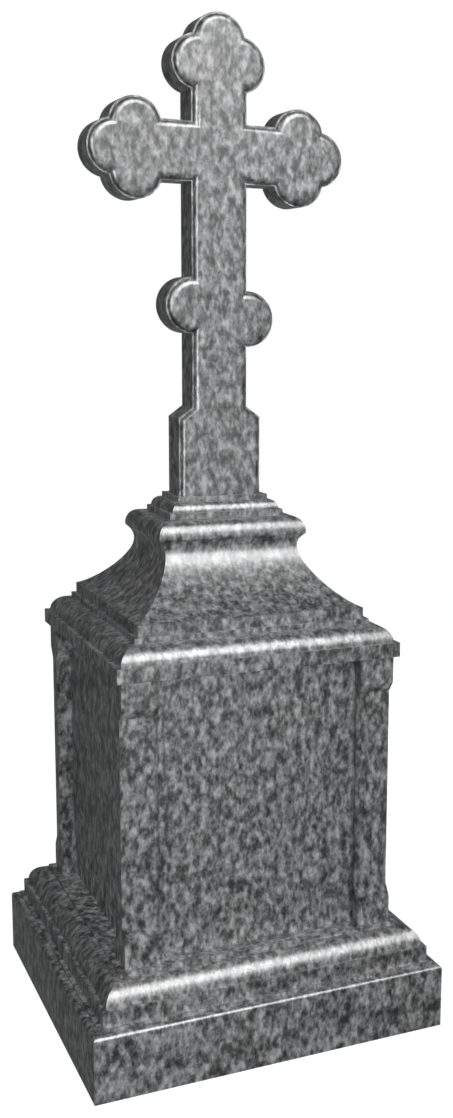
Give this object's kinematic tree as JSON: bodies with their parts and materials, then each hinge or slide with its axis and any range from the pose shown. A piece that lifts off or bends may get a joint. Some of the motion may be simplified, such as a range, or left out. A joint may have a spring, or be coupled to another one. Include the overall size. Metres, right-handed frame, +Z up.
{
  "type": "granite memorial cross on a pedestal",
  "caption": "Polished grey granite memorial: moulded square pedestal with corner pilasters, swept cap and an upright budded cross with a slanting foot bar.",
  "frame": {"origin": "centre of the plinth's underside, on the ground", "axes": "+Z up through the cross; -Y towards the viewer of the front; +X to the right seen from the front"},
  "size_m": [0.84, 0.84, 2.3323],
  "materials": {
    "granite": "polished"
  },
  "bodies": {
    "root": {"base_moulding": "granite", "cap_fillet": "granite", "cap_ovolo": "granite", "cap_sweep": "granite", "cornice_band": "granite", "cornice_ovolo": "granite", "cross": "granite", "die_core": "granite", "pilaster_base_front_left": "granite", "pilaster_base_front_right": "granite", "pilaster_base_rear_left": "granite", "pilaster_base_rear_right": "granite", "pilaster_capital_front_left": "granite", "pilaster_capital_front_right": "granite", "pilaster_capital_rear_left": "granite", "pilaster_capital_rear_right": "granite", "pilaster_shaft_front_left": "granite", "pilaster_shaft_front_right": "granite", "pilaster_shaft_rear_left": "granite", "pilaster_shaft_rear_right": "granite", "plinth_slab": "granite", "seat_lower_fillet": "granite", "seat_ovolo": "granite", "seat_upper_fillet": "granite"}
  },
  "joints": []
}
